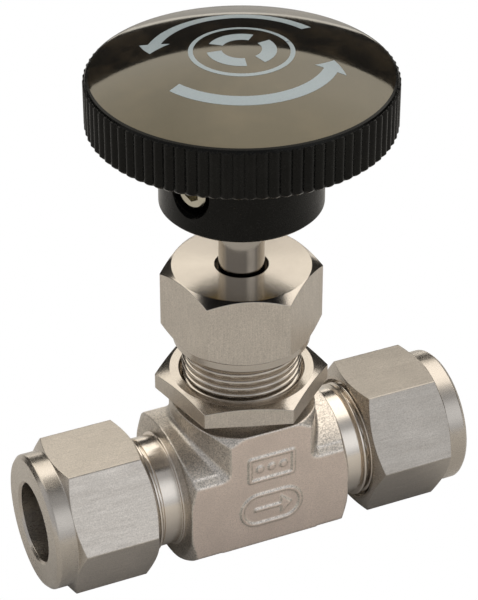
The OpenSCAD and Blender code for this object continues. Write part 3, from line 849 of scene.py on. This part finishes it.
def arrow_strip(start, sweep, mid_r, half_w, head, dome_r):
    """Curved arrow on the dome: a band of even width that ends in a pointed head."""
    turn = np.radians(np.linspace(0, sweep, 48))
    head_turns = np.radians(sweep + np.linspace(0, head * (1 if sweep > 0 else -1), 16))
    taper = np.linspace(1, 0.02, 16)
    angles = np.radians(start) + np.concatenate([turn, head_turns])
    half = np.concatenate([np.full(48, half_w), 2.4 * half_w * taper])
    return dome_strip(angles, mid_r - half, mid_r + half, dome_r)


def make_dome_print(dome_r):
    """Printed on the dome: two opposed turning arrows, a ring and three short bands in it."""
    parts = []
    for start in (20, 200):
        parts.append(arrow_strip(start, 118, 13.6, 1.0, 13, dome_r))
    full = np.linspace(0, TAU, 121)
    parts.append(dome_strip(full, np.full(121, 7.2), np.full(121, 7.9), dome_r))
    for i in range(3):
        middle = math.radians(90 + 120 * i)
        angles = middle + np.radians(np.linspace(-44, 44, 40))
        parts.append(dome_strip(angles, np.full(40, 3.0), np.full(40, 5.2), dome_r))
    verts, faces, count = [], [], 0
    for part_verts, part_faces in parts:
        verts.append(part_verts)
        faces += [tuple(v + count for v in f) for f in part_faces]
        count += len(part_verts)
    tags = np.zeros(len(faces), int)
    piece = finish_mesh("knob_print", np.concatenate(verts), faces, [print_ink], tags)
    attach(piece, "handle")


def drill_screw_hole(knob):
    """Cuts the radial hole for the set screw through the hub, with a small softened mouth."""
    hole_r, mouth, insert_side = 3.5, 0.35, 7.4
    turns = even_turns(72)
    stations = [
        (0, insert_side - 1, 0, 0),
        (hole_r, insert_side - 1, 0, 0),
        (hole_r, hub_r - mouth - 0.4, 0, 0),
        (hole_r + 0.12, hub_r - 0.4, 0, 0),
        (hole_r + mouth + 0.6, hub_r + 0.6, 0, 0),
        (0, hub_r + 0.6, 0, 0),
    ]
    cutter = lathe("screw_hole_cutter", stations, turns, [rim_plastic], closed=False)
    heading = math.radians(screw_turn)
    out = Vector((math.cos(heading), math.sin(heading), 0))
    cutter.rotation_euler = out.to_track_quat("Z", "Y").to_euler()
    cutter.location = (0, 0, screw_z * MM)
    bpy.context.view_layer.update()
    cut = knob.modifiers.new("screw_hole", "BOOLEAN")
    cut.operation = "DIFFERENCE"
    cut.solver = "EXACT"
    cut.object = cutter
    graph = bpy.context.evaluated_depsgraph_get()
    drilled = bpy.data.meshes.new_from_object(knob.evaluated_get(graph))
    knob.modifiers.clear()
    knob.data = drilled
    knob.data.set_sharp_from_angle(angle=math.radians(32))
    bpy.data.objects.remove(cutter)


make_packing_nut()
make_panel_nut()
make_tube_nut("left", -1, 3, drawn_x)
# The right nut takes the darker, painted-shade copy of the hexagon steel.
make_tube_nut("right", 1, -2, drawn_painted_shade)
make_bonnet()
make_tube_end("left", -1)
make_tube_end("right", 1)
make_forging()
make_stem()
make_knob()

cad_finish = {
    "knob_insert": brass,
    "set_screw": screw_steel,
    "gland": turned_z,
    "stem_tip": turned_z,
    "packing_washer": turned_z,
    "packing_bottom_adapter": seal_white,
    "packing_ring_lower": seal_white,
    "packing_ring_upper": seal_white,
    "packing_top_adapter": seal_white,
    "left_front_ferrule": turned_x,
    "left_back_ferrule": turned_x,
    "right_front_ferrule": turned_x,
    "right_back_ferrule": turned_x,
}
for node, material in cad_finish.items():
    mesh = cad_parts[node].data
    mesh.materials.clear()
    mesh.materials.append(material)
    mesh.shade_smooth()
    mesh.set_sharp_from_angle(angle=math.radians(30))


# ---------------------------------------------------------------- studio

def lowest():
    """Height of the valve's lowest point, in metres."""
    return min(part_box(node)[0][Z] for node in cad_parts)


def stage_mesh(name, verts, faces, material):
    mesh = bpy.data.meshes.new(name)
    mesh.from_pydata(verts, [], faces)
    mesh.materials.append(material)
    piece = add_object(name, mesh)
    return piece


def make_floor():
    """Pale floor: white to the camera, grey paper to reflections, clear when seen from below."""
    low_z = lowest() - 0.05 * MM
    size = 2.0
    corners = [(-size, -size, low_z), (size, -size, low_z), (size, size, low_z), (-size, size, low_z)]
    s = Shader(bpy.data.materials.new("studio_floor"))
    paper = s.noise(s.place, 1 / (2 * MM), 3, 0.6)
    tone = s.mix(s.ramp(paper, 0.3, 0.7), (0.66, 0.645, 0.62), (0.7, 0.685, 0.66))
    s.set(Base_Color=tone, Roughness=0.9)
    glow = s.node("ShaderNodeEmission", Color=(1, 1, 1), Strength=1.0)
    seen = s.node("ShaderNodeLightPath").outputs["Is Camera Ray"]
    beneath = s.node("ShaderNodeNewGeometry").outputs["Backfacing"]
    clear = s.node("ShaderNodeBsdfTransparent")
    above = s.node("ShaderNodeMixShader", i0=seen, i1=s.bsdf.outputs[0], i2=glow.outputs[0])
    blend = s.node("ShaderNodeMixShader", i0=beneath, i1=above.outputs[0], i2=clear.outputs[0])
    s.feed(s.tree.nodes["Material Output"].inputs["Surface"], blend.outputs[0])
    stage_mesh("floor", corners, [(0, 1, 2, 3)], s.owner)


def make_dark_card():
    """Dark curved card behind the valve; the camera does not see it, only reflections do."""
    reach, top, columns = 0.507, 0.313, 90
    first, last, gap_at = -64, 114, 25
    low_z = lowest()
    verts, faces = [], []
    for heading in np.linspace(first, last, columns):
        turn = math.radians(heading)
        gap = float(smooth(34, 20, abs(heading - gap_at)))
        bottom = low_z + 0.005 + 0.082 * gap
        for z in (bottom, top):
            verts.append((reach * math.sin(turn), reach * math.cos(turn), z))
    for i in range(columns - 1):
        faces.append((2 * i, 2 * i + 2, 2 * i + 3, 2 * i + 1))
    s = Shader(bpy.data.materials.new("dark_card"))
    cloth = s.noise(s.place, 1 / (4 * MM), 2, 0.5)
    s.set(Base_Color=s.mix(cloth, (0.035, 0.033, 0.03), (0.045, 0.043, 0.04)), Roughness=0.9)
    card = stage_mesh("dark_card", verts, faces, s.owner)
    card.visible_camera = False
    card.visible_shadow = False


def make_world():
    """Soft studio tent: warm and bright behind, cooler in front, one window and one lamp."""
    straight_back, window, lamp = (0.4157, 0.9095, 0), (0.373, -0.8, 0.469), (0.46, 0.3, 0.836)
    world = bpy.data.worlds.new("studio")
    bpy.context.scene.world = world
    s = Shader(world)
    s.tree.nodes.clear()
    heading = s.node("ShaderNodeTexCoord").outputs["Generated"]
    up = s.split(heading)[2]
    level = s.math("SQRT", s.math("MAXIMUM", s.math("SUBTRACT", 1.0, s.math("MULTIPLY", up, up)), 0.001))
    back = s.math("DIVIDE", aimed(s, heading, straight_back), level)
    front_tone = s.mix(s.ramp(up, 0.0, 0.9), (0.62, 0.64, 0.68), (0.42, 0.43, 0.45))
    tone = s.mix(s.ramp(back, -0.2, 0.45), front_tone, (1.55, 1.48, 1.35))
    tone = s.mix(s.ramp(aimed(s, heading, window), 0.9, 0.985), tone, (1.06, 1.1, 1.16))
    tone = s.mix(s.ramp(aimed(s, heading, lamp), 0.86, 0.95), tone, (1.9, 1.82, 1.7))
    seen = s.node("ShaderNodeLightPath").outputs["Is Camera Ray"]
    tone = s.mix(seen, tone, (1, 1, 1))
    background = s.node("ShaderNodeBackground", Color=tone, Strength=1.0)
    out = s.node("ShaderNodeOutputWorld")
    s.feed(out.inputs["Surface"], background.outputs[0])


def aimed(s, heading, target):
    """Cosine of the angle between a heading and a target direction."""
    made = s.node("ShaderNodeVectorMath", {"operation": "DOT_PRODUCT"}, i0=heading, i1=target)
    return made.outputs["Value"]


make_floor()
make_dark_card()
make_world()

camera_data = bpy.data.cameras.new("camera")
camera_data.lens = 143.7
camera_data.sensor_width = 36
camera_data.clip_start = 0.01
camera = add_object("camera", camera_data)
camera.location = (-0.13147, -0.28678, 0.23588)
look_at = Vector((-0.00036, 0.00017, 0.03237))
camera.rotation_euler = (look_at - camera.location).to_track_quat("-Z", "Y").to_euler()
bpy.context.scene.camera = camera
bpy.context.scene.view_settings.view_transform = "Standard"
